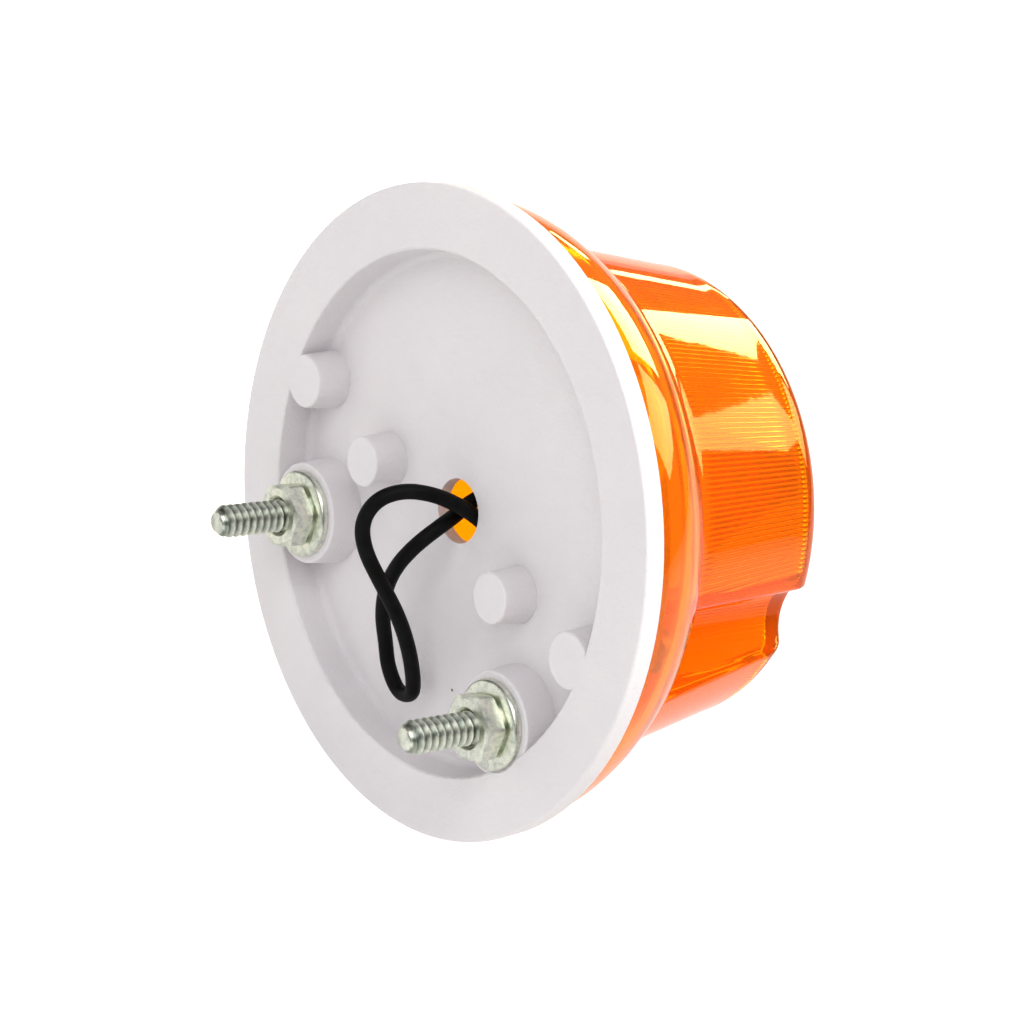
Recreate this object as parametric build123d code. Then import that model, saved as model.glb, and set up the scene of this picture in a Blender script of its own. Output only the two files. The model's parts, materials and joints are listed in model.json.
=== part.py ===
from build123d import *
import math
import os

# Round stud-mounted signal lamp. Millimetres, +Z is the lamp's own up.
# The origin is the middle of the flat rear rim; the studs point along +Y and the lens along -Y.

# Driving dimensions
RIM_R = 46.0
RIM_T = 3.0
WALL = 2.0
STUD_PITCH = 50.8
STUD_DROP = 17.5
STUD_R = 2.4
LENS_DEPTH = 44.6

# White housing
RECESS_R = 36.8
RECESS_FLOOR_R = 36.2
FLOOR_Y = -5.2
INNER_Y = FLOOR_Y - WALL
CUP_R = 38.7
SPIGOT_R = 42.0
SPIGOT_T = 1.8
SPIGOT_Y = -6.4
WIRE_HOLE_R = 4.6
STUD_BOSS_R = 7.4
STUD_SEAT_Y = -0.3
STUD_SEAT_R = 6.7
LENS_BOSS_X = 34.1
LENS_BOSS_R = 3.9
BRACKET_BOSS = (16.65, -2.45)
BRACKET_BOSS_R = 3.6
BOSS_DRAFT = 0.5
ROOT = 0.8
PILLAR_R = 3.4
PILLAR_Y = -13.2
NOTCH_ANGLES = (57, 123, 237, 303)
NOTCH_W = 2.2

# Amber lens
FLANGE_R = 45.3
SHOULDER_R = 40.0
SHOULDER_Y = PILLAR_Y - WALL
BARREL_REAR_R = 38.1
BARREL_FRONT_R = 33.6
CORNER_R = 4.6
SCALLOP_R = 5.5
SEAL_W = 0.9
SEAL_T = 1.0

# Fasteners
SCREW_R = 1.9
SCREW_HEAD_R = 3.5
SCREW_HEAD_T = 2.4
SCREW_TIP_Y = FLOOR_Y + 1.0
SMALL_SCREW_R = 1.4
SMALL_HEAD_R = 2.8
SMALL_HEAD_T = 2.0
SMALL_TIP_Y = FLOOR_Y + 2.8
STUD_SHANK_R = 2.1
STUD_THREAD_Y = 4.5
STUD_TIP_Y = 15.0
STUD_HEAD_AF = 8.0
STUD_HEAD_T = 3.2
WASHER_R = 6.35
WASHER_T = 1.2
WASHER_BORE_R = 2.65
NUT_AF = 8.73
NUT_T = 3.5
NUT_FACE_R = 4.1
NUT_FACE_T = 0.4
NUT_BORE_R = STUD_R + 0.05
NUT_TURN = 28.8

# Socket and bulb, on an axis parallel to Z
AXIS_Y = -25.0
PLATE_T = 1.2
PLATE_Y = INNER_Y - PLATE_T
SHELF_Z = -20.0
SHELF_HALF = 9.8
SHELL_R = 8.45
SHELL_BORE_R = 7.65
SHELL_Z = (-31.0, -12.5)
CAP_R = 7.58
CAP_Z = (-22.2, -6.0)
PIN_R = 1.0
PIN_Z = -16.0
PUSH = 1.5
INSULATOR_T = 2.5
EYELET_R = 2.2
PLUNGER_R = 1.5
PLUNGER_HEAD_R = 3.2
PLUNGER_HEAD_T = 1.0
CONTACT_R = 2.6
CONTACT_T = 1.0
SPRING_R = 2.5
SPRING_WIRE_R = 0.3
GLASS_R = 13.25
GLASS_NECK_R = 6.7
GLASS_MID_Z = 13.5
GLASS_T = 0.7
STEM_H = 6.0
FILAMENT_Z = 15.7
SUPPORT_R = 0.3
SUPPORT_X = 3.6

# Lead: one soft black wire, out through the hole, round a loop and back in
WIRE_R = 1.1
TERMINAL_AT = (-3.6, -17.5, -32.7)
LEAD_ROUTE = [
    TERMINAL_AT,
    (-7.4, -17.2, -31.2),
    (-11.4, -16.0, -26.8),
    (-12.8, -14.6, -20.2),
    (-11.4, -13.6, -13.2),
    (-8.0, -12.2, -6.6),
    (-4.8, -9.8, -1.8),
    (-2.9, -6.2, 0.9),
    (-1.9, -2.4, 2.9),
    (-0.8, 1.6, 4.2),
    (0.6, 5.6, 4.2),
    (1.7, 8.8, 2.2),
    (1.9, 9.8, -1.8),
    (0.4, 8.8, -5.6),
    (-2.2, 6.6, -9.2),
    (-4.9, 3.8, -13.4),
    (-6.7, 1.4, -18.2),
    (-8.0, -0.2, -22.8),
    (-8.0, -1.2, -26.0),
    (-4.8, -1.6, -28.2),
    (-1.5, -1.0, -25.8),
    (-0.2, -0.2, -22.2),
    (0.9, 1.2, -18.0),
    (0.8, 2.4, -13.0),
    (-0.2, 2.7, -8.2),
    (-1.6, 1.8, -3.8),
    (-1.9, -1.0, -0.9),
    (-0.4, -4.6, -0.4),
    (0.9, -8.0, 1.0),
    (-1.0, -10.8, 4.0),
    (-5.6, -12.2, 6.6),
    (-11.0, -12.6, 7.8),
    (-16.4, -12.4, 6.8),
    (-20.6, -12.0, 3.8),
]
BARE_END_L = 4.0
BARE_END_R = 0.6

SIDES = (("left", 1), ("right", -1))


def along_y(shape, x, y, z):
    """Turn a shape built along +Z from its base to run along +Y from the point."""
    return Pos(x, y, z) * Rot(-90, 0, 0) * shape


def rod_y(radius, y0, y1, x=0.0, z=0.0):
    rod = Cylinder(radius, y1 - y0, align=(Align.CENTER, Align.CENTER, Align.MIN))
    return along_y(rod, x, y0, z)


def cone_y(r0, y0, r1, y1, x, z):
    cone = Cone(r0, r1, y1 - y0, align=(Align.CENTER, Align.CENTER, Align.MIN))
    return along_y(cone, x, y0, z)


def rod_z(radius, z0, z1, x=0.0, y=AXIS_Y):
    rod = Cylinder(radius, z1 - z0, align=(Align.CENTER, Align.CENTER, Align.MIN))
    return Pos(x, y, z0) * rod


def block(x0, x1, y0, y1, z0, z1):
    size = (x1 - x0, y1 - y0, z1 - z0)
    return Pos((x0 + x1) / 2, (y0 + y1) / 2, (z0 + z1) / 2) * Box(*size)


def turned_y(points, rounds=()):
    """Revolve an outline of (radius, y) points about Y, rounding the named corners."""
    face = make_face(Polyline(*points, close=True))
    for (r, y), radius in rounds:
        corner = face.vertices().sort_by_distance((r, y, 0))[0]
        face = fillet(corner, radius)
    return revolve(face, Axis.Y)


def cross_slot(x, y, z, length, depth):
    """The cross recess of a screw head whose top is at y, cut towards +Y."""
    width = length / 4
    one = block(x - length / 2, x + length / 2, y, y + depth, z - width / 2, z + width / 2)
    two = block(x - width / 2, x + width / 2, y, y + depth, z - length / 2, z + length / 2)
    return one + two


def base_housing():
    lip = SPIGOT_R - SPIGOT_T
    outline = [
        (0, FLOOR_Y), (RECESS_FLOOR_R, FLOOR_Y), (RECESS_R, 0), (RIM_R, 0), (RIM_R - 0.2, -RIM_T),
        (SPIGOT_R, -RIM_T), (SPIGOT_R, SPIGOT_Y), (lip, SPIGOT_Y), (lip, -RIM_T), (CUP_R, -RIM_T),
        (CUP_R, INNER_Y), (0, INNER_Y),
    ]
    rounds = [((RECESS_FLOOR_R, FLOOR_Y), 1.2), ((RECESS_R, 0), 0.4), ((RIM_R, 0), 0.4)]
    added = []
    cut = [rod_y(WIRE_HOLE_R, INNER_Y - ROOT, FLOOR_Y + ROOT)]
    for _, side in SIDES:
        stud_x = side * STUD_PITCH / 2
        lens_x = side * LENS_BOSS_X
        small_x = side * BRACKET_BOSS[0]
        small_z = BRACKET_BOSS[1]
        added.append(boss(STUD_BOSS_R, stud_x, -STUD_DROP, STUD_SEAT_Y))
        added.append(boss(LENS_BOSS_R, lens_x, 0, 0))
        added.append(boss(BRACKET_BOSS_R, small_x, small_z, 0))
        added.append(rod_y(PILLAR_R, PILLAR_Y, INNER_Y + ROOT, lens_x))
        cut.append(rod_y(STUD_R, INNER_Y - ROOT, ROOT, stud_x, -STUD_DROP))
        cut.append(rod_y(STUD_SEAT_R, STUD_SEAT_Y, ROOT, stud_x, -STUD_DROP))
        cut.append(rod_y(SCREW_R, PILLAR_Y - ROOT, SCREW_TIP_Y, lens_x))
        cut.append(rod_y(SMALL_SCREW_R, INNER_Y - ROOT, SMALL_TIP_Y, small_x, small_z))
    for angle in NOTCH_ANGLES:
        notch = Box(SPIGOT_T * 2, -SPIGOT_Y - RIM_T, NOTCH_W)
        middle = SPIGOT_R - SPIGOT_T / 2
        cut.append(Rot(0, -angle, 0) * Pos(middle, (SPIGOT_Y - RIM_T) / 2, 0) * notch)
    return turned_y(outline, rounds) + added - cut


def boss(radius, x, z, top_y):
    """A drafted round boss from inside the recess floor to its flat top."""
    solid = cone_y(radius + BOSS_DRAFT, FLOOR_Y - ROOT, radius, top_y, x, z)
    return fillet(solid.edges().sort_by(Axis.Y)[-1], 0.35)


def lens_body(inset, rear_y, front_y):
    """The lens outline filled in, moved inwards by the inset."""
    shoulder_y = SHOULDER_Y + inset
    barrel_r = BARREL_FRONT_R - inset
    corner = CORNER_R - inset
    turn_y = front_y + corner
    bend = math.sqrt(0.5) * corner
    side = Polyline(
        (0, rear_y), (FLANGE_R - inset, rear_y), (FLANGE_R - inset - 1.7, rear_y - 6.2),
        (SHOULDER_R + 0.6 - inset, shoulder_y + 0.8), (SHOULDER_R - inset, shoulder_y),
        (BARREL_REAR_R - inset, shoulder_y), (barrel_r, turn_y),
    )
    nose = ThreePointArc(
        side @ 1, (barrel_r - corner + bend, turn_y - bend), (barrel_r - corner, front_y)
    )
    front = Polyline(nose @ 1, (0, front_y), side @ 0)
    face = make_face(side.edges() + nose.edges() + front.edges())
    return revolve(face, Axis.Y)


def lens():
    outside = lens_body(0, -RIM_T, -LENS_DEPTH)
    inside = lens_body(WALL, -RIM_T, -LENS_DEPTH + WALL)
    for _, side in SIDES:
        x = side * LENS_BOSS_X
        outside -= rod_y(SCALLOP_R, -LENS_DEPTH - 5, SHOULDER_Y, x)
        outside -= rod_y(SCREW_R + 0.2, SHOULDER_Y - ROOT, PILLAR_Y + ROOT, x)
        inside -= rod_y(SCALLOP_R + WALL, -LENS_DEPTH - 5, PILLAR_Y, x)
    return outside - inside


def lens_seal():
    ring = rod_y(SPIGOT_R + SEAL_W, -RIM_T - SEAL_T, -RIM_T)
    return ring - rod_y(SPIGOT_R, -RIM_T - SEAL_T, -RIM_T)


def pan_screw(x, z, seat_y, radius, head_r, head_t, tip_y):
    """A pan-head screw driven along +Y, its head on the -Y side of the seat."""
    head = rod_y(head_r, seat_y - head_t, seat_y, x, z)
    head = fillet(head.edges().sort_by(Axis.Y)[0], head_t * 0.45)
    head -= cross_slot(x, seat_y - head_t, z, head_r * 1.2, head_t * 0.6)
    return head + rod_y(radius, seat_y, tip_y, x, z)


def lens_screws():
    solids = [
        pan_screw(side * LENS_BOSS_X, 0, SHOULDER_Y, SCREW_R, SCREW_HEAD_R, SCREW_HEAD_T, SCREW_TIP_Y)
        for _, side in SIDES
    ]
    return Compound(solids)


def bracket_screws():
    solids = [
        pan_screw(
            side * BRACKET_BOSS[0], BRACKET_BOSS[1], PLATE_Y, SMALL_SCREW_R, SMALL_HEAD_R, SMALL_HEAD_T,
            SMALL_TIP_Y,
        )
        for _, side in SIDES
    ]
    return Compound(solids)


def hexagon(across_flats, y0, y1, x, z, turn=0):
    """A hexagonal bar along Y, one corner at the turn from X towards Z."""
    face = RegularPolygon(across_flats / 2, 6, major_radius=False, rotation=-turn)
    return along_y(extrude(face, y1 - y0), x, y0, z)


def stud(side):
    x = side * STUD_PITCH / 2
    shank = rod_y(STUD_SHANK_R, PLATE_Y, STUD_THREAD_Y, x, -STUD_DROP)
    thread = rod_y(STUD_R, STUD_THREAD_Y, STUD_TIP_Y, x, -STUD_DROP)
    thread = chamfer(thread.edges().sort_by(Axis.Y)[-1], 0.7)
    return shank + thread + hexagon(STUD_HEAD_AF, PLATE_Y - STUD_HEAD_T, PLATE_Y, x, -STUD_DROP)


def washer(side):
    x = side * STUD_PITCH / 2
    top_y = STUD_SEAT_Y + WASHER_T
    ring = rod_y(WASHER_R, STUD_SEAT_Y, top_y, x, -STUD_DROP)
    ring = chamfer(ring.edges().sort_by(Axis.Y)[-1], 0.4)
    return ring - rod_y(WASHER_BORE_R, STUD_SEAT_Y, top_y, x, -STUD_DROP)


def nut(side):
    x = side * STUD_PITCH / 2
    low_y = STUD_SEAT_Y + WASHER_T
    top_y = low_y + NUT_T
    bar = hexagon(NUT_AF, low_y + NUT_FACE_T, top_y, x, -STUD_DROP, -NUT_TURN)
    corner_r = NUT_AF / math.sqrt(3)
    crown = cone_y(corner_r + NUT_T * 1.7, low_y, corner_r - 0.5, top_y, x, -STUD_DROP)
    washer_face = rod_y(NUT_FACE_R, low_y, low_y + NUT_FACE_T, x, -STUD_DROP)
    return (bar & crown) + washer_face - rod_y(NUT_BORE_R, low_y, top_y, x, -STUD_DROP)


def socket_bracket():
    """One stamped plate: four fixing eyes, an eye for the lead, and a shelf for the socket."""
    foot = STUD_PITCH / 2
    outline = [
        (-21.0, 2.6), (21.0, 2.6), (31.4, -16.0), (31.4, -20.0), (28.0, -23.4), (21.0, -23.4),
        (14.0, -11.0), (SHELF_HALF, -11.0), (SHELF_HALF, SHELF_Z), (-SHELF_HALF, SHELF_Z),
        (-SHELF_HALF, -11.0), (-14.0, -11.0), (-21.0, -23.4), (-28.0, -23.4), (-31.4, -20.0), (-31.4, -16.0),
    ]
    face = make_face(Polyline(*outline, close=True))
    plate = along_y(extrude(mirror(face, Plane.XZ), PLATE_T), 0, PLATE_Y, 0)
    plate += rod_y(10.0, PLATE_Y, INNER_Y, 0.8, -0.9)
    plate -= rod_y(7.2, PLATE_Y, INNER_Y, 0.8, -0.9)
    for _, side in SIDES:
        plate -= rod_y(STUD_R, PLATE_Y, INNER_Y, side * foot, -STUD_DROP)
        plate -= rod_y(SMALL_SCREW_R, PLATE_Y, INNER_Y, side * BRACKET_BOSS[0], BRACKET_BOSS[1])
    shelf = block(-SHELF_HALF, SHELF_HALF, AXIS_Y, INNER_Y, SHELF_Z, SHELF_Z + PLATE_T)
    shelf += rod_z(SHELF_HALF, SHELF_Z, SHELF_Z + PLATE_T)
    return plate + shelf - rod_z(SHELL_R, SHELF_Z, SHELF_Z + PLATE_T)


def socket_shell():
    tube = rod_z(SHELL_R, *SHELL_Z) - rod_z(SHELL_BORE_R, *SHELL_Z)
    low_z = PIN_Z - PIN_R - PUSH - 0.2
    width = 2 * PIN_R + 0.3
    gate_angle = 40
    steps = 6
    for side in (0, 180):
        lock = block(SHELL_BORE_R - 1, SHELL_R + 1, -width / 2, width / 2, low_z, PIN_Z + PIN_R + 0.1)
        gate = block(SHELL_BORE_R - 1, SHELL_R + 1, -width / 2, width / 2, low_z, SHELL_Z[1] + 1)
        pass_bar = block(SHELL_BORE_R - 1, SHELL_R + 1, -width / 2, width / 2, low_z, low_z + width)
        tube -= Pos(0, AXIS_Y, 0) * Rot(0, 0, side) * lock
        tube -= Pos(0, AXIS_Y, 0) * Rot(0, 0, side + gate_angle) * gate
        for step in range(1, steps):
            turn = side + gate_angle * step / steps
            tube -= Pos(0, AXIS_Y, 0) * Rot(0, 0, turn) * pass_bar
    return tube


def socket_insulator():
    top = SHELL_Z[0] + INSULATOR_T
    return rod_z(SHELL_BORE_R, SHELL_Z[0], top) - rod_z(EYELET_R, SHELL_Z[0], top)


def socket_terminal():
    """The rivet that guides the plunger, its tag, and the crimp that takes the lead."""
    tag_z = (SHELL_Z[0] - 0.8, SHELL_Z[0])
    x, y, z = TERMINAL_AT
    rivet = rod_z(EYELET_R, tag_z[0], SHELL_Z[0] + INSULATOR_T)
    tag = rod_z(3.2, *tag_z) + block(-1.6, 1.6, AXIS_Y, y, *tag_z)
    crimp = Pos(x, y, z) * Rot(0, 90, 0) * Cylinder(1.6, 5.2, align=(Align.CENTER, Align.CENTER, Align.MIN))
    wire_seat = Pos(x, y, z) * Rot(0, 90, 0) * Cylinder(WIRE_R, 3.0, align=(Align.CENTER, Align.CENTER, Align.MIN))
    return rivet + tag + crimp - wire_seat - rod_z(PLUNGER_R + 0.05, tag_z[0], SHELL_Z[0] + INSULATOR_T)


def contact_plunger():
    top = CAP_Z[0] - CONTACT_T
    head = rod_z(PLUNGER_HEAD_R, top - PLUNGER_HEAD_T, top)
    return head + rod_z(PLUNGER_R, SHELL_Z[0] - 0.6, top - PLUNGER_HEAD_T)


def contact_spring():
    low = SHELL_Z[0] + INSULATOR_T + SPRING_WIRE_R + 0.05
    high = CAP_Z[0] - CONTACT_T - PLUNGER_HEAD_T - SPRING_WIRE_R - 0.05
    path = Helix(pitch=(high - low) / 3, height=high - low, radius=SPRING_R)
    start = path @ 0
    section = Plane(origin=start, z_dir=path % 0) * Circle(SPRING_WIRE_R)
    return Pos(0, AXIS_Y, low) * sweep(section, path=path, is_frenet=True)


def bulb_cap():
    cap = rod_z(CAP_R, *CAP_Z) - rod_z(CAP_R - 0.5, CAP_Z[0] + 1.0, CAP_Z[1])
    for side in (0, 180):
        pin = Rot(0, 90, 0) * Cylinder(PIN_R, SHELL_R + 0.5 - CAP_R + 0.3, align=(Align.CENTER, Align.CENTER, Align.MIN))
        cap += Pos(0, AXIS_Y, PIN_Z) * Rot(0, 0, side) * Pos(CAP_R - 0.3, 0, 0) * pin
    return cap


def bulb_contact():
    low = CAP_Z[0] - CONTACT_T
    dot = rod_z(CONTACT_R, low, CAP_Z[0])
    return fillet(dot.edges().sort_by(Axis.Z)[0], 0.4)


def glass_outline(inset):
    """Half outline of the bulb envelope in (radius, z), moved inwards by the inset."""
    ball = GLASS_R - inset
    neck = GLASS_NECK_R - inset
    waist_z = GLASS_MID_Z - 9.5
    waist_r = math.sqrt(ball ** 2 - 9.5 ** 2)
    low_z = CAP_Z[1] - 1.0 + inset
    stem = Line((0, low_z), (neck, low_z))
    side = Line(stem @ 1, (waist_r, waist_z))
    dome = ThreePointArc(side @ 1, (ball, GLASS_MID_Z), (0, GLASS_MID_Z + ball))
    axis = Line(dome @ 1, stem @ 0)
    return Plane.XZ * make_face([stem, side, dome, axis])


def bulb_glass():
    shell = revolve(glass_outline(0), Axis.Z) - revolve(glass_outline(GLASS_T), Axis.Z)
    stem = Cone(3.0, 1.8, STEM_H, align=(Align.CENTER, Align.CENTER, Align.MIN))
    return Pos(0, AXIS_Y, 0) * (shell + Pos(0, 0, CAP_Z[1] - 1.0) * stem)


def bulb_supports():
    low = CAP_Z[1] - 1.0 + STEM_H + SUPPORT_R
    posts = []
    for _, side in SIDES:
        foot = (side * 1.0, AXIS_Y, low)
        elbow = (side * SUPPORT_X, AXIS_Y, low)
        top = (side * SUPPORT_X, AXIS_Y, FILAMENT_Z)
        path = FilletPolyline(foot, elbow, top, radius=1.2)
        section = Plane(origin=foot, z_dir=path % 0) * Circle(SUPPORT_R)
        posts.append(sweep(section, path=path))
    return Compound(posts)


def bulb_filament():
    return Pos(0, AXIS_Y, FILAMENT_Z) * Rot(0, 90, 0) * Cylinder(0.45, 2 * (SUPPORT_X - SUPPORT_R))


def route_radii(points):
    """Each corner's radius: 0.45 of its shorter run over the tangent of half its turn."""
    spots = [Vector(*point) for point in points]
    radii = []
    for before, here, after in zip(spots, spots[1:], spots[2:]):
        shorter = min((here - before).length, (after - here).length)
        turn = math.radians((here - before).get_angle(after - here))
        radii.append(0.45 * shorter / math.tan(turn / 2))
    return radii


def lead_wire():
    radii = route_radii(LEAD_ROUTE)
    print("lead radii", [round(radius, 1) for radius in radii])
    path = FilletPolyline(*LEAD_ROUTE, radius=radii)
    section = Plane(origin=path @ 0, z_dir=path % 0) * Circle(WIRE_R)
    tube = sweep(section, path=path)
    print("lead length", round(path.length, 1), "volume", round(tube.volume, 1))
    print("section times length", round(math.pi * WIRE_R ** 2 * path.length, 1))
    return tube


def bare_wire_end():
    tip = Vector(*LEAD_ROUTE[-1])
    heading = (tip - Vector(*LEAD_ROUTE[-2])).normalized()
    section = Plane(origin=tip, z_dir=heading) * Circle(BARE_END_R)
    return extrude(section, BARE_END_L)


def main():
    os.makedirs("parts", exist_ok=True)
    nodes = {
        "base_housing": base_housing(),
        "amber_lens": lens(),
        "lens_seal": lens_seal(),
        "lens_screws": lens_screws(),
        "socket_bracket": socket_bracket(),
        "bracket_screws": bracket_screws(),
        "socket_shell": socket_shell(),
        "socket_insulator": socket_insulator(),
        "socket_terminal": socket_terminal(),
        "contact_plunger": contact_plunger(),
        "contact_spring": contact_spring(),
        "bulb_cap": bulb_cap(),
        "bulb_contact": bulb_contact(),
        "bulb_glass": bulb_glass(),
        "bulb_supports": bulb_supports(),
        "bulb_filament": bulb_filament(),
        "lead_wire": lead_wire(),
        "bare_wire_end": bare_wire_end(),
    }
    for name, side in SIDES:
        nodes[f"stud_{name}"] = stud(side)
        nodes[f"washer_{name}"] = washer(side)
        nodes[f"nut_{name}"] = nut(side)
    for name, shape in nodes.items():
        export_step(shape, f"parts/{name}.step")


main()
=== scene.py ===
import json
import math

import bmesh
import bpy
from mathutils import Matrix, Vector


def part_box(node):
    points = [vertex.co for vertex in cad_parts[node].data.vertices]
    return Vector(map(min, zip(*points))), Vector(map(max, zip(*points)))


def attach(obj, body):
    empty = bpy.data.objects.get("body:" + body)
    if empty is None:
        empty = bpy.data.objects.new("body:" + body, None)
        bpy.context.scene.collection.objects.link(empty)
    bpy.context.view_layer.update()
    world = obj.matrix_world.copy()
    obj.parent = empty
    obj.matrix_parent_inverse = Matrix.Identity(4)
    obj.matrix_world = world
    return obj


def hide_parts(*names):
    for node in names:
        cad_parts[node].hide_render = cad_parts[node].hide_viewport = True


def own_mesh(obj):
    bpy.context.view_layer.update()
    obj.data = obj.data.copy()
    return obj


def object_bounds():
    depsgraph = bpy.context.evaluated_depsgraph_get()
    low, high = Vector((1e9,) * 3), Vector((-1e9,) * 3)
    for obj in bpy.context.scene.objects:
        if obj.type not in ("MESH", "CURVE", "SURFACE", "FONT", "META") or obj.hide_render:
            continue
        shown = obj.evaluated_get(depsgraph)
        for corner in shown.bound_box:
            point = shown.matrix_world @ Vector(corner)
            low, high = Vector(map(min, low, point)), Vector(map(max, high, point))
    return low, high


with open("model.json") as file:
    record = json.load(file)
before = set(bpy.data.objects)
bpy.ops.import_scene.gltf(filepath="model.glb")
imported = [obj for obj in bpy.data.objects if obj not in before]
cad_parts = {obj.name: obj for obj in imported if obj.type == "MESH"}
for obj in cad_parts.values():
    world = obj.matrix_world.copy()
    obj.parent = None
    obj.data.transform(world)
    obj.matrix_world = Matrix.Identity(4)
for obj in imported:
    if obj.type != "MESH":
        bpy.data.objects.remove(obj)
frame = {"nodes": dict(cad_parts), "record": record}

# Everything is in the row frame: the origin is the middle of the rear rim, +Y out of the back, +Z up.
MM = 0.001
NODES = frame["nodes"]
CAD_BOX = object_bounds()

# Camera
CAMERA_AT = (-268.30, 257.98, 213.86)
CAMERA_FORWARD = (0.61075, -0.62229, -0.48964)
CAMERA_UP = (0.56838, -0.08599, 0.81826)
LENS_MM = 108.47
SENSOR_MM = 36.0

# Lead: the same route as the CAD solid
WIRE_R = 1.1
LEAD_ROUTE = [
    (-3.6, -17.5, -32.7), (-7.4, -17.2, -31.2), (-11.4, -16.0, -26.8), (-12.8, -14.6, -20.2),
    (-11.4, -13.6, -13.2), (-8.0, -12.2, -6.6), (-4.8, -9.8, -1.8), (-2.9, -6.2, 0.9),
    (-1.9, -2.4, 2.9), (-0.8, 1.6, 4.2), (0.6, 5.6, 4.2), (1.7, 8.8, 2.2), (1.9, 9.8, -1.8),
    (0.4, 8.8, -5.6), (-2.2, 6.6, -9.2), (-4.9, 3.8, -13.4), (-6.7, 1.4, -18.2), (-8.0, -0.2, -22.8),
    (-8.0, -1.2, -26.0), (-4.8, -1.6, -28.2), (-1.5, -1.0, -25.8), (-0.2, -0.2, -22.2),
    (0.9, 1.2, -18.0), (0.8, 2.4, -13.0), (-0.2, 2.7, -8.2), (-1.6, 1.8, -3.8), (-1.9, -1.0, -0.9),
    (-0.4, -4.6, -0.4), (0.9, -8.0, 1.0), (-1.0, -10.8, 4.0), (-5.6, -12.2, 6.6),
    (-11.0, -12.6, 7.8), (-16.4, -12.4, 6.8), (-20.6, -12.0, 3.8),
]

# Lens
RIBS = 300
STEPS_PER_RIB = 5
RIB_DEPTH = 0.22
WALL = 2.0
CHANNEL_X = 34.1
CHANNEL_R = 5.5
CHANNEL_FLOOR_Y = -15.2
CHANNEL_SOFTNESS = 2.4
CHANNEL_MOUTH_SLOPE = 3.0
FLANGE_OUTLINE = [
    (45.3, -3.0), (45.1, -4.2), (44.7, -5.8), (44.2, -7.5), (43.6, -9.2), (42.8, -10.9), (41.9, -12.4),
    (41.1, -13.7), (40.6, -14.4), (40.35, -14.8), (40.0, -15.1), (39.6, -15.2), (38.5, -15.2),
]
BARREL_STEP = 0.4
BARREL_REAR_R = 38.1
BARREL_FRONT_R = 33.6
FRONT_Y = -44.6
CORNER_R = 4.6
BARREL_RINGS = 9
CORNER_RINGS = 7
FRONT_RINGS = 14
FRONT_INSET = 0.2
RIBS_START = 1.5
LEAST_RING_STEP = 0.05
LENS_SHARP_DEG = 50.0

# Threads and hardware
STUD_R = 2.4
THREAD_PITCH = 1.2
THREAD_DEPTH = 0.5
THREAD_STEPS = 28
THREAD_SHARES = (0.0, 0.09, 0.28, 0.44, 0.56, 0.72, 0.91, 1.0)
THREAD_CREST = 0.12
THREAD_FLANK = 0.7
THREAD_SHARP_DEG = 35.0
TIP_CHAMFER = 1.0
TIP_SLOPE = 0.8
TIP_LEAST_R = 0.3
# Thread roots are coloured darker the deeper they lie: how much darker, and the least radius that is darkened
ROOT_DARKENING = 0.75
ROOT_DARKENING_LEAST_R = 1.7
HEX_SIDE_STEPS = 20
HEX_CORNER_LIMIT = 1.13
HEX_CROWN = 0.94
HEX_CHAMFER = math.radians(32)
HEX_REAR_CHAMFER = 0.3
REAR_COUNTERSINK = 0.35
FRONT_COUNTERSINK_R = 0.55
FRONT_COUNTERSINK_DEPTH = 0.65
NUT_FLATS = 8.73
NUT_TURN = math.radians(28.8)
NUT_FACE_R = 4.1
NUT_FACE_T = 0.4
NUT_AIR_BELOW = 0.02
NUT_BORE_AIR = 0.06
WASHER_BORE_R = 2.65
WASHER_STEPS = 128
STUD_HEAD_TOP = -8.4
STUD_HEAD_FLATS = 8.0
STUD_HEAD_HOLE_R = 0.5

# Dirt specks in the white plastic: cells to a metre, a speck's share of its cell, and how few cells have one
SPECK_CELLS = 95.0
SPECK_SIZE = 0.022
SPECK_RARITY = 0.93

# Floor and world: how bright each is seen directly or through glass, on lit surfaces, and in mirror images
FLOOR_SIZE = 8.0
FLOOR_GAP = 0.0005
FLOOR_COLOUR = (0.35, 0.35, 0.35, 1.0)
FLOOR_STRENGTHS = (0.97, 0.75, 0.38)
WORLD_STRENGTHS = (1.0, 0.42, 0.10)

# Softboxes: name, azimuth and elevation in degrees, distance, width and height in metres, radiance, colour
WHITE = (1.0, 1.0, 1.0)
GOLDEN = (1.0, 0.84, 0.36)
SOFTBOXES = [
    ("window_high", 19.5, 21.2, 1.0, 0.32, 0.235, 22.0, GOLDEN),
    ("window_low", -5.5, 21.4, 1.0, 0.355, 0.25, 8.0, GOLDEN),
    ("window_edge", 38.5, 7.0, 1.0, 0.10, 0.05, 11.0, GOLDEN),
    ("over_front", 300.0, 62.0, 1.0, 0.6, 0.6, 10.0, WHITE),
    ("behind_key", 205.0, 48.0, 1.1, 0.9, 0.9, 2.4, WHITE),
    ("behind_fill", 140.0, 15.0, 1.3, 0.8, 0.8, 0.8, WHITE),
]


def mm(*values):
    return Vector(values) * MM


# ---------------------------------------------------------------- materials

def material(name):
    made = bpy.data.materials.new(name)
    made.use_nodes = True
    nodes = made.node_tree.nodes
    return made, nodes, made.node_tree.links, nodes["Principled BSDF"]


def node(nodes, kind, **inputs):
    made = nodes.new(kind)
    for key, value in inputs.items():
        made.inputs[key].default_value = value
    return made


def noise(nodes, links, scale, detail, rough):
    """A noise's 0-1 value, with the scale in cells to a metre of the row frame."""
    place = nodes.new("ShaderNodeTexCoord")
    made = node(nodes, "ShaderNodeTexNoise", Scale=scale, Detail=detail, Roughness=rough)
    links.new(place.outputs["Object"], made.inputs["Vector"])
    return made.outputs["Fac"]


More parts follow.
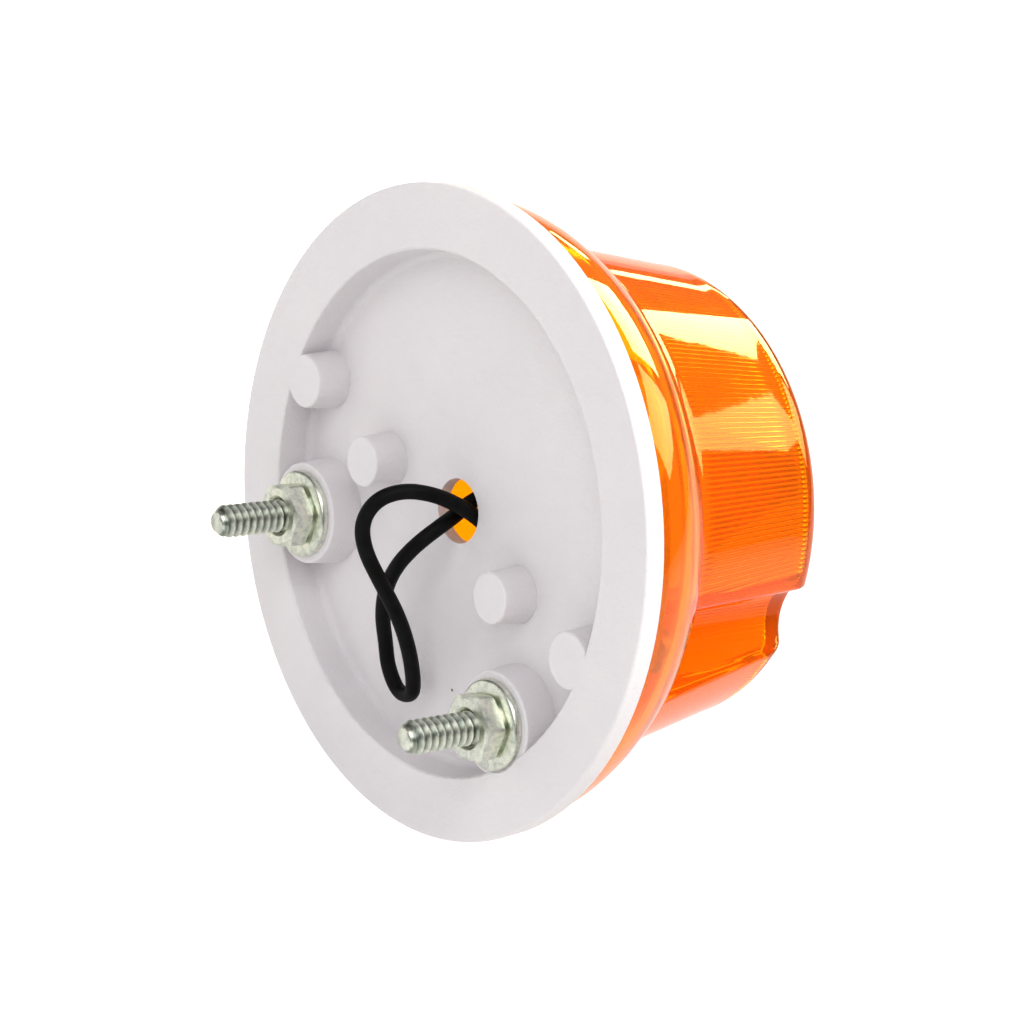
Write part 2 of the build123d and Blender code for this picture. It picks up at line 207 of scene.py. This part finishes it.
def ramp(nodes, links, source, low, high):
    """A colour that runs between two stops, each a 0-1 value and its colour."""
    made = nodes.new("ShaderNodeValToRGB")
    for element, (at, colour) in zip(made.color_ramp.elements, (low, high)):
        element.position = at
        element.color = (*colour, 1.0)
    links.new(source, made.inputs["Fac"])
    return made.outputs["Color"]


def overlay(nodes, links, factor, under, over):
    """A colour with a constant one laid over it by a factor."""
    made = nodes.new("ShaderNodeMix")
    made.data_type = "RGBA"
    made.inputs["B"].default_value = (*over, 1.0)
    links.new(factor, made.inputs["Factor"])
    links.new(under, made.inputs["A"])
    return made.outputs["Result"]


def test(nodes, links, operation, source, limit):
    """1 where the source is LESS_THAN or GREATER_THAN the limit, and 0 elsewhere."""
    made = nodes.new("ShaderNodeMath")
    made.operation = operation
    made.inputs[1].default_value = limit
    links.new(source, made.inputs[0])
    return made.outputs[0]


def combine(nodes, links, operation, first, second):
    made = nodes.new("ShaderNodeMath")
    made.operation = operation
    links.new(first, made.inputs[0])
    links.new(second, made.inputs[1])
    return made.outputs[0]


def bump(nodes, links, shader, height, strength, distance):
    made = node(nodes, "ShaderNodeBump", Strength=strength, Distance=distance)
    links.new(height, made.inputs["Height"])
    links.new(made.outputs["Normal"], shader.inputs["Normal"])


def roughness(nodes, links, shader, source, low, high):
    """Let a 0-1 value drive the roughness between two limits."""
    made = nodes.new("ShaderNodeMapRange")
    made.inputs["To Min"].default_value = low
    made.inputs["To Max"].default_value = high
    links.new(source, made.inputs["Value"])
    links.new(made.outputs["Result"], shader.inputs["Roughness"])


def dirt_specks(nodes, links):
    """1 in a few small specks, and 0 elsewhere."""
    place = nodes.new("ShaderNodeTexCoord")
    cells = node(nodes, "ShaderNodeTexVoronoi", Scale=SPECK_CELLS)
    links.new(place.outputs["Object"], cells.inputs["Vector"])
    near = test(nodes, links, "LESS_THAN", cells.outputs["Distance"], SPECK_SIZE)
    split = nodes.new("ShaderNodeSeparateColor")
    links.new(cells.outputs["Color"], split.inputs["Color"])
    rare = test(nodes, links, "GREATER_THAN", split.outputs["Red"], SPECK_RARITY)
    return combine(nodes, links, "MULTIPLY", near, rare)


def white_plastic():
    made, nodes, links, shader = material("white_plastic")
    cloud = noise(nodes, links, scale=60.0, detail=4.0, rough=0.6)
    tint = ramp(nodes, links, cloud, (0.30, (0.655, 0.625, 0.645)), (0.70, (0.690, 0.655, 0.670)))
    colour = overlay(nodes, links, dirt_specks(nodes, links), tint, over=(0.10, 0.08, 0.08))
    links.new(colour, shader.inputs["Base Color"])
    grain = noise(nodes, links, scale=2200.0, detail=3.0, rough=0.7)
    roughness(nodes, links, shader, cloud, low=0.40, high=0.56)
    bump(nodes, links, shader, grain, strength=0.70, distance=0.00020)
    shader.inputs["IOR"].default_value = 1.49
    shader.inputs["Subsurface Weight"].default_value = 0.12
    shader.inputs["Subsurface Radius"].default_value = (0.0020, 0.0016, 0.0014)
    shader.inputs["Subsurface Scale"].default_value = 1.0
    return made


def amber_plastic():
    made, nodes, links, shader = material("amber_plastic")
    shader.inputs["Base Color"].default_value = (1.0, 0.43, 0.006, 1.0)
    shader.inputs["Transmission Weight"].default_value = 0.90
    shader.inputs["IOR"].default_value = 1.46
    shader.inputs["Specular Tint"].default_value = (1.0, 0.62, 0.20, 1.0)
    shader.inputs["Specular IOR Level"].default_value = 0.25
    ripple = noise(nodes, links, scale=180.0, detail=2.0, rough=0.5)
    roughness(nodes, links, shader, ripple, low=0.015, high=0.06)
    bump(nodes, links, shader, ripple, strength=0.25, distance=0.00005)
    depth = node(nodes, "ShaderNodeVolumeAbsorption", Density=2000.0)
    depth.inputs["Color"].default_value = (0.9990, 0.925, 0.60, 1.0)
    links.new(depth.outputs["Volume"], nodes["Material Output"].inputs["Volume"])
    return made


def plated(name, light, dark, rough, root_dark=None):
    """A bright metal: drifting tint, fine scuffs and, from a mesh attribute, dark thread roots."""
    made, nodes, links, shader = material(name)
    drift = noise(nodes, links, scale=900.0, detail=5.0, rough=0.7)
    colour = ramp(nodes, links, drift, (0.28, dark), (0.58, light))
    if root_dark:
        # A stored attribute colours the thread roots darker the deeper they lie
        depth = nodes.new("ShaderNodeAttribute")
        depth.attribute_name = "root_dark"
        colour = overlay(nodes, links, depth.outputs["Fac"], colour, over=root_dark)
    links.new(colour, shader.inputs["Base Color"])
    shader.inputs["Metallic"].default_value = 1.0
    scuff = noise(nodes, links, scale=2200.0, detail=3.0, rough=0.65)
    roughness(nodes, links, shader, scuff, low=rough - 0.1, high=rough + 0.14)
    bump(nodes, links, shader, scuff, strength=0.3, distance=0.00004)
    return made


def black_sleeve():
    made, nodes, links, shader = material("black_sleeve")
    cloud = noise(nodes, links, scale=300.0, detail=3.0, rough=0.6)
    tint = ramp(nodes, links, cloud, (0.3, (0.002, 0.002, 0.002)), (0.75, (0.006, 0.006, 0.006)))
    links.new(tint, shader.inputs["Base Color"])
    roughness(nodes, links, shader, cloud, low=0.42, high=0.60)
    shader.inputs["Specular IOR Level"].default_value = 0.07
    grain = noise(nodes, links, scale=3200.0, detail=2.0, rough=0.5)
    bump(nodes, links, shader, grain, strength=0.25, distance=0.00003)
    return made


def dull(name, low, high, rough, scale, depth):
    """A matte material whose colour drifts between two tones: rubber or board."""
    made, nodes, links, shader = material(name)
    cloud = noise(nodes, links, scale=scale, detail=4.0, rough=0.65)
    tint = ramp(nodes, links, cloud, (0.35, low), (0.65, high))
    links.new(tint, shader.inputs["Base Color"])
    roughness(nodes, links, shader, cloud, low=rough - 0.08, high=rough + 0.08)
    bump(nodes, links, shader, cloud, strength=0.4, distance=depth)
    return made


def clear_glass():
    made, nodes, links, shader = material("clear_glass")
    shader.inputs["Base Color"].default_value = (0.97, 0.98, 0.98, 1.0)
    shader.inputs["Transmission Weight"].default_value = 1.0
    shader.inputs["IOR"].default_value = 1.5
    wave = noise(nodes, links, scale=90.0, detail=2.0, rough=0.5)
    roughness(nodes, links, shader, wave, low=0.0, high=0.03)
    bump(nodes, links, shader, wave, strength=0.15, distance=0.00005)
    return made


def make_materials():
    zinc_light = (0.84, 0.85, 0.73)
    zinc_dark = (0.44, 0.50, 0.45)
    return {
        "white_plastic": white_plastic(),
        "amber_plastic": amber_plastic(),
        "zinc_steel": plated("zinc_steel", zinc_light, zinc_dark, 0.30, root_dark=(0.10, 0.13, 0.10)),
        "plated_brass": plated("plated_brass", (0.86, 0.74, 0.46), (0.66, 0.54, 0.32), 0.32),
        "spring_steel": plated("spring_steel", (0.62, 0.62, 0.62), (0.40, 0.40, 0.42), 0.30),
        "copper": plated("copper", (0.80, 0.42, 0.26), (0.60, 0.28, 0.16), 0.34),
        "solder": plated("solder", (0.66, 0.66, 0.66), (0.46, 0.46, 0.47), 0.42),
        "seal_rubber": dull("seal_rubber", (0.030, 0.030, 0.032), (0.06, 0.06, 0.06), 0.72, 900.0, 0.00005),
        "brown_board": dull("brown_board", (0.14, 0.07, 0.035), (0.24, 0.13, 0.07), 0.66, 700.0, 0.00006),
        "clear_glass": clear_glass(),
        "black_sleeve": black_sleeve(),
    }


# ---------------------------------------------------------------- mesh pieces

def mesh_object(name, verts, faces, finish, body, sharp_deg=30.0):
    """A mesh from points in mm, smooth but for edges sharper than the angle."""
    data = bpy.data.meshes.new(name)
    data.from_pydata([Vector(v) * MM for v in verts], [], faces)
    data.validate()
    made = bpy.data.objects.new(name, data)
    bpy.context.scene.collection.objects.link(made)
    data.materials.append(finish)
    work = bmesh.new()
    work.from_mesh(data)
    bmesh.ops.remove_doubles(work, verts=work.verts, dist=1e-7)
    bmesh.ops.recalc_face_normals(work, faces=work.faces)
    limit = math.radians(sharp_deg)
    for face in work.faces:
        face.smooth = True
    for edge in work.edges:
        edge.smooth = len(edge.link_faces) == 2 and edge.calc_face_angle(0.0) < limit
    work.to_mesh(data)
    work.free()
    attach(made, body)
    return made


def ring_faces(rings, around, closed=False):
    """Quads between neighbouring rings of points; closed also joins the last ring to the first."""
    pairs = [(ring, ring + 1) for ring in range(rings - 1)]
    if closed:
        pairs.append((rings - 1, 0))
    faces = []
    for one, other in pairs:
        low, high = one * around, other * around
        for step in range(around):
            after = (step + 1) % around
            faces.append((low + step, low + after, high + after, high + step))
    return faces


def turned(outline, around, x, z):
    """Points and faces of a closed outline of (radius, y) turned about an axis along Y."""
    verts = []
    for radius, y in outline:
        for step in range(around):
            angle = math.tau * step / around
            verts.append((x + radius * math.cos(angle), y, z + radius * math.sin(angle)))
    return verts, ring_faces(len(outline), around, closed=True)


# ---------------------------------------------------------------- lens

def lens_outline():
    """The outside of the lens as (radius, y), from its rear edge to the rim of the flat front."""
    turn_y = FRONT_Y + CORNER_R
    points = list(FLANGE_OUTLINE)
    length = turn_y - CHANNEL_FLOOR_Y + BARREL_STEP
    for ring in range(BARREL_RINGS + 1):
        share = ring / BARREL_RINGS
        radius = BARREL_REAR_R + (BARREL_FRONT_R - BARREL_REAR_R) * share
        points.append((radius, CHANNEL_FLOOR_Y - BARREL_STEP + length * share))
    for ring in range(1, CORNER_RINGS + 1):
        bend = math.pi / 2 * ring / CORNER_RINGS
        radius = BARREL_FRONT_R - CORNER_R + CORNER_R * math.cos(bend)
        points.append((radius, turn_y - CORNER_R * math.sin(bend)))
    return points


def inner_outline(outside):
    """The outline moved inwards by the wall, from the rear edge to the flat front."""
    kept = [(outside[0][0] - WALL, outside[0][1])]
    for before, here, after in zip(outside, outside[1:], outside[2:]):
        along = Vector((after[0] - before[0], after[1] - before[1])).normalized()
        point = (here[0] + along.y * WALL, here[1] - along.x * WALL)
        if point[1] < kept[-1][1] - LEAST_RING_STEP:
            kept.append(point)
    kept.append((outside[-1][0] - FRONT_INSET, FRONT_Y + WALL))
    return kept


def soft_lower(a, b, softness):
    """The lower of two values, rounded where they cross."""
    share = min(max(0.5 + 0.5 * (b - a) / softness, 0.0), 1.0)
    return b + (a - b) * share - softness * share * (1 - share)


def channel_wall(angle, reach):
    """How far out from the lens axis a screw channel's wall lies; beyond its mouth it climbs steeply away."""
    side = abs(math.sin(angle)) * CHANNEL_X
    middle = CHANNEL_X * abs(math.cos(angle))
    if side < reach:
        return middle - math.sqrt(reach ** 2 - side ** 2)
    return middle + (side - reach) * CHANNEL_MOUTH_SLOPE


def wall_radius(radius, y, angle, reach, floor_y):
    """The lens wall's radius at an angle, brought in where a screw channel cuts it."""
    if y > floor_y:
        return radius
    return soft_lower(radius, channel_wall(angle, reach), CHANNEL_SOFTNESS)


def lid_rings(radius, y):
    """Rings that fill a flat front, from its middle outwards."""
    return [(radius * (ring + 1) / FRONT_RINGS, y) for ring in range(FRONT_RINGS - 1)]


def amber_lens(finish):
    around = RIBS * STEPS_PER_RIB
    outside = lens_outline()
    inside = inner_outline(outside)
    outer = lid_rings(*outside[-1]) + outside[::-1]
    inner = inside + lid_rings(*inside[-1])[::-1]
    verts = []
    for radius, y in outer:
        for step in range(around):
            angle = math.tau * step / around
            r = wall_radius(radius, y, angle, CHANNEL_R, CHANNEL_FLOOR_Y)
            verts.append((r * math.cos(angle), y, r * math.sin(angle)))
    for radius, y in inner:
        ribbed = y < CHANNEL_FLOOR_Y - RIBS_START and radius >= inside[-1][0]
        for step in range(around):
            angle = math.tau * step / around
            r = wall_radius(radius, y, angle, CHANNEL_R + WALL, CHANNEL_FLOOR_Y + WALL)
            if ribbed:
                r -= RIB_DEPTH * abs(math.sin(RIBS * angle / 2))
            verts.append((r * math.cos(angle), y, r * math.sin(angle)))
    rings = len(outer) + len(inner)
    faces = ring_faces(rings, around)
    for ring, y in ((0, outer[0][1]), (rings - 1, inner[-1][1])):
        verts.append((0.0, y, 0.0))
        middle = len(verts) - 1
        for step in range(around):
            faces.append((ring * around + step, ring * around + (step + 1) % around, middle))
    made = mesh_object("lens_shell", verts, faces, finish, "housing", LENS_SHARP_DEG)
    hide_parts("amber_lens")


def coil_spring(finish):
    """The CAD spring's shape as its own piece."""
    made = bpy.data.objects.new("coil_spring", NODES["contact_spring"].data.copy())
    bpy.context.scene.collection.objects.link(made)
    made.data.materials.clear()
    made.data.materials.append(finish)
    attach(made, "housing")
    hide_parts("contact_spring")
    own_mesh(made)


# ---------------------------------------------------------------- hardware

def centre_xz(name):
    low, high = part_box(name)
    return (low[0] + high[0]) / 2 / MM, (low[2] + high[2]) / 2 / MM


def span_y(name):
    low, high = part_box(name)
    return low[1] / MM, high[1] / MM


def hex_radius(angle, flats, turn):
    """Distance from the centre to the side of a hexagon, with its corners just broken."""
    corner = (angle - turn + math.pi / 6) % (math.pi / 3) - math.pi / 6
    return min(flats / 2 / math.cos(math.pi / 6 - abs(corner)), flats / 2 * HEX_CORNER_LIMIT)


def hexagon_stack(side, flats, y0, y1, hole_r, face_t):
    """The points of one radial cut through a hexagon: hole, washer face, side and chamfered end."""
    crown = flats / 2 * HEX_CROWN
    drop = max(0.0, side - crown) * math.tan(HEX_CHAMFER)
    face_r = NUT_FACE_R if face_t else crown
    return [
        (hole_r, y0 + REAR_COUNTERSINK), (hole_r + REAR_COUNTERSINK, y0), (face_r, y0), (face_r, y0 + face_t),
        (side, y0 + face_t + drop * HEX_REAR_CHAMFER), (side, y1 - drop), (crown, y1),
        (hole_r + FRONT_COUNTERSINK_R, y1), (hole_r, y1 - FRONT_COUNTERSINK_DEPTH),
    ]


def hexagon_rings(x, z, y0, y1, flats, turn, hole_r, face_t):
    """Points and faces of a chamfered hexagon along Y with a countersunk hole through it."""
    around = 6 * HEX_SIDE_STEPS
    columns = []
    for step in range(around):
        angle = math.tau * step / around + turn
        stack = hexagon_stack(hex_radius(angle, flats, turn), flats, y0, y1, hole_r, face_t)
        columns.append([(x + r * math.cos(angle), y, z + r * math.sin(angle)) for r, y in stack])
    rings = len(columns[0])
    verts = [column[ring] for ring in range(rings) for column in columns]
    return verts, ring_faces(rings, around, closed=True)


def nut(side, finish):
    name = f"nut_{side}"
    x, z = centre_xz(name)
    y0, y1 = span_y(name)
    verts, faces = hexagon_rings(
        x, z, y0 + NUT_AIR_BELOW, y1, NUT_FLATS, NUT_TURN, hole_r=STUD_R + NUT_BORE_AIR, face_t=NUT_FACE_T,
    )
    made = mesh_object(f"hex_{name}", verts, faces, finish, name)
    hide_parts(name)


def washer(side, finish):
    """A stamped washer: its edges have small chamfers towards the base and are rounded on the outer face."""
    name = f"washer_{side}"
    x, z = centre_xz(name)
    y0, y1 = span_y(name)
    low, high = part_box(name)
    radius = (high[0] - low[0]) / 2 / MM
    outline = [
        (WASHER_BORE_R, y0 + 0.1), (WASHER_BORE_R + 0.1, y0), (radius - 0.12, y0), (radius, y0 + 0.12),
        (radius, y1 - 0.5), (radius - 0.07, y1 - 0.28), (radius - 0.24, y1 - 0.1), (radius - 0.5, y1),
        (WASHER_BORE_R + 0.25, y1), (WASHER_BORE_R + 0.07, y1 - 0.07), (WASHER_BORE_R, y1 - 0.25),
    ]
    verts, faces = turned(outline, WASHER_STEPS, x, z)
    made = mesh_object(f"flat_{name}", verts, faces, finish, name)
    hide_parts(name)


def thread_radius(y, tip_y, share):
    """The thread's radius at a share of one pitch, brought in by the chamfer at the tip."""
    flank = abs(share - 0.5) * 2
    depth = min(max((flank - THREAD_CREST) / THREAD_FLANK, 0.0), 1.0)
    return min(STUD_R - THREAD_DEPTH * depth, STUD_R - TIP_CHAMFER + (tip_y - y) * TIP_SLOPE)


def stud_thread(x, z, root_y, tip_y):
    """A right-handed thread along Y: one strip of profile points wound round the stud."""
    turns = math.ceil((tip_y - root_y) / THREAD_PITCH) + 1
    rows = turns * THREAD_STEPS
    verts, faces = [], []
    for row in range(rows + 1):
        angle = math.tau * row / THREAD_STEPS
        for share in THREAD_SHARES:
            y = root_y - THREAD_PITCH + THREAD_PITCH * (row / THREAD_STEPS + share)
            radius = max(thread_radius(y, tip_y, share), TIP_LEAST_R)
            verts.append((x + radius * math.cos(angle), y, z - radius * math.sin(angle)))
    wide = len(THREAD_SHARES)
    for row in range(rows):
        for column in range(wide - 1):
            a = row * wide + column
            faces.append((a, a + 1, a + wide + 1, a + wide))
    return verts, faces


def close_ends(made, root_y, tip_y):
    """Cut the wound strip square at both ends and cap it."""
    work = bmesh.new()
    work.from_mesh(made.data)
    for y, outward in ((root_y, -1), (tip_y, 1)):
        everything = work.verts[:] + work.edges[:] + work.faces[:]
        bmesh.ops.bisect_plane(
            work, geom=everything, plane_co=(0, y * MM, 0), plane_no=(0, outward, 0), clear_outer=True
        )
        rim = [e for e in work.edges if e.is_boundary and all(abs(v.co.y - y * MM) < 1e-6 for v in e.verts)]
        bmesh.ops.holes_fill(work, edges=rim)
    bmesh.ops.recalc_face_normals(work, faces=work.faces)
    work.to_mesh(made.data)
    work.free()


def paint_roots(made, x, z):
    """Store how deep in the thread each point lies, for the darker colour towards the thread roots."""
    root_dark = made.data.attributes.new("root_dark", "FLOAT", "POINT")
    for point, value in zip(made.data.vertices, root_dark.data):
        radius = math.hypot(point.co.x / MM - x, point.co.z / MM - z)
        depth = min(max((STUD_R - radius) / THREAD_DEPTH, 0.0), 1.0)
        value.value = depth * ROOT_DARKENING if radius > ROOT_DARKENING_LEAST_R else 0.0


def stud(side, finish):
    name = f"stud_{side}"
    x, z = centre_xz(name)
    y0, tip_y = span_y(name)
    verts, faces = stud_thread(x, z, STUD_HEAD_TOP, tip_y)
    made = mesh_object(
        f"threaded_{name}", verts, faces, finish, "housing", THREAD_SHARP_DEG,
    )
    close_ends(made, STUD_HEAD_TOP, tip_y)
    paint_roots(made, x, z)
    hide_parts(name)
    head_verts, head_faces = hexagon_rings(
        x, z, y0, STUD_HEAD_TOP, STUD_HEAD_FLATS, turn=0.0, hole_r=STUD_HEAD_HOLE_R, face_t=0.0,
    )
    mesh_object(f"head_of_{name}", head_verts, head_faces, finish, "housing")


# ---------------------------------------------------------------- lead

def lead(finish):
    data = bpy.data.curves.new("lead_flex", "CURVE")
    data.dimensions = "3D"
    data.bevel_depth = WIRE_R * MM
    data.bevel_resolution = 6
    data.resolution_u = 8
    data.use_fill_caps = True
    spline = data.splines.new("NURBS")
    spline.points.add(len(LEAD_ROUTE) - 1)
    for point, spot in zip(spline.points, LEAD_ROUTE):
        point.co = (*mm(*spot), 1.0)
    spline.order_u = 3
    spline.use_endpoint_u = True
    made = bpy.data.objects.new("lead_flex", data)
    bpy.context.scene.collection.objects.link(made)
    data.materials.append(finish)
    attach(made, "housing")
    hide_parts("lead_wire")


# ---------------------------------------------------------------- camera, floor, light

def make_camera():
    data = bpy.data.cameras.new("camera")
    data.lens = LENS_MM
    data.sensor_width = SENSOR_MM
    data.clip_start = 0.01
    made = bpy.data.objects.new("camera", data)
    bpy.context.scene.collection.objects.link(made)
    back = -Vector(CAMERA_FORWARD).normalized()
    up = Vector(CAMERA_UP).normalized()
    right = up.cross(back).normalized()
    up = back.cross(right)
    turn = Matrix((right, up, back)).transposed().to_4x4()
    made.matrix_world = Matrix.Translation(mm(*CAMERA_AT)) @ turn
    bpy.context.scene.camera = made


def make_floor():
    low, _ = CAD_BOX
    bpy.ops.mesh.primitive_plane_add(size=FLOOR_SIZE, location=(0, 0, low[2] - FLOOR_GAP))
    floor = bpy.context.object
    floor.name = "floor"
    made, nodes, links, shader = material("floor")
    nodes.remove(shader)
    glow = nodes.new("ShaderNodeEmission")
    links.new(ray_strength(nodes, links, *FLOOR_STRENGTHS), glow.inputs["Strength"])
    matte = node(nodes, "ShaderNodeBsdfDiffuse", Color=FLOOR_COLOUR)
    both = nodes.new("ShaderNodeAddShader")
    links.new(glow.outputs[0], both.inputs[0])
    links.new(matte.outputs[0], both.inputs[1])
    links.new(both.outputs[0], nodes["Material Output"].inputs["Surface"])
    floor.data.materials.append(made)


def ray_strength(nodes, links, seen, lit, mirrored):
    """A strength that differs for what is seen directly or through glass, lit surfaces and mirror images."""
    path = nodes.new("ShaderNodeLightPath")
    camera, glass = path.outputs["Is Camera Ray"], path.outputs["Is Transmission Ray"]
    through = combine(nodes, links, "MAXIMUM", camera, glass)
    glossy = nodes.new("ShaderNodeMix")
    glossy.inputs["A"].default_value = lit
    glossy.inputs["B"].default_value = mirrored
    links.new(path.outputs["Is Glossy Ray"], glossy.inputs["Factor"])
    final = nodes.new("ShaderNodeMix")
    final.inputs["B"].default_value = seen
    links.new(through, final.inputs["Factor"])
    links.new(glossy.outputs["Result"], final.inputs["A"])
    return final.outputs["Result"]


def make_world():
    world = bpy.data.worlds.new("studio")
    bpy.context.scene.world = world
    world.use_nodes = True
    nodes, links = world.node_tree.nodes, world.node_tree.links
    room = nodes["Background"]
    room.inputs["Color"].default_value = (1.0, 1.0, 1.0, 1.0)
    links.new(ray_strength(nodes, links, *WORLD_STRENGTHS), room.inputs["Strength"])


def softbox(name, azimuth, elevation, distance, wide, tall, radiance, colour):
    """An area light aimed at the lamp. Azimuth 0 is in front of the lens and 90 towards +X."""
    a, e = math.radians(azimuth), math.radians(elevation)
    out = Vector((math.sin(a) * math.cos(e), -math.cos(a) * math.cos(e), math.sin(e)))
    data = bpy.data.lights.new(name, "AREA")
    data.shape = "RECTANGLE"
    data.size = wide
    data.size_y = tall
    data.energy = radiance * math.pi * wide * tall
    data.color = colour
    made = bpy.data.objects.new(name, data)
    bpy.context.scene.collection.objects.link(made)
    facing = out.to_track_quat("Z", "Y").to_matrix().to_4x4()
    made.matrix_world = Matrix.Translation(out * distance) @ facing


def make_lights():
    for row in SOFTBOXES:
        softbox(*row)


# ---------------------------------------------------------------- build

def dress_cad_nodes(finishes):
    """Give every CAD node its procedural finish; replaced ones stay hidden."""
    slots = {row["node"]: row["material_slot"] for row in frame["record"]["subparts"]}
    for name, shown in NODES.items():
        finish = finishes[slots[name]]
        shown.data.materials.clear()
        shown.data.materials.append(finish)


def main():
    make_camera()
    finishes = make_materials()
    dress_cad_nodes(finishes)
    lead(finishes["black_sleeve"])
    amber_lens(finishes["amber_plastic"])
    coil_spring(finishes["spring_steel"])
    for side in ("left", "right"):
        stud(side, finishes["zinc_steel"])
        washer(side, finishes["zinc_steel"])
        nut(side, finishes["zinc_steel"])
    make_floor()
    make_world()
    make_lights()
    scene = bpy.context.scene
    scene.view_settings.view_transform = "Standard"
    scene.cycles.use_denoising = True
    scene.cycles.transmission_bounces = 28
    scene.cycles.glossy_bounces = 12
    scene.cycles.max_bounces = 32


main()
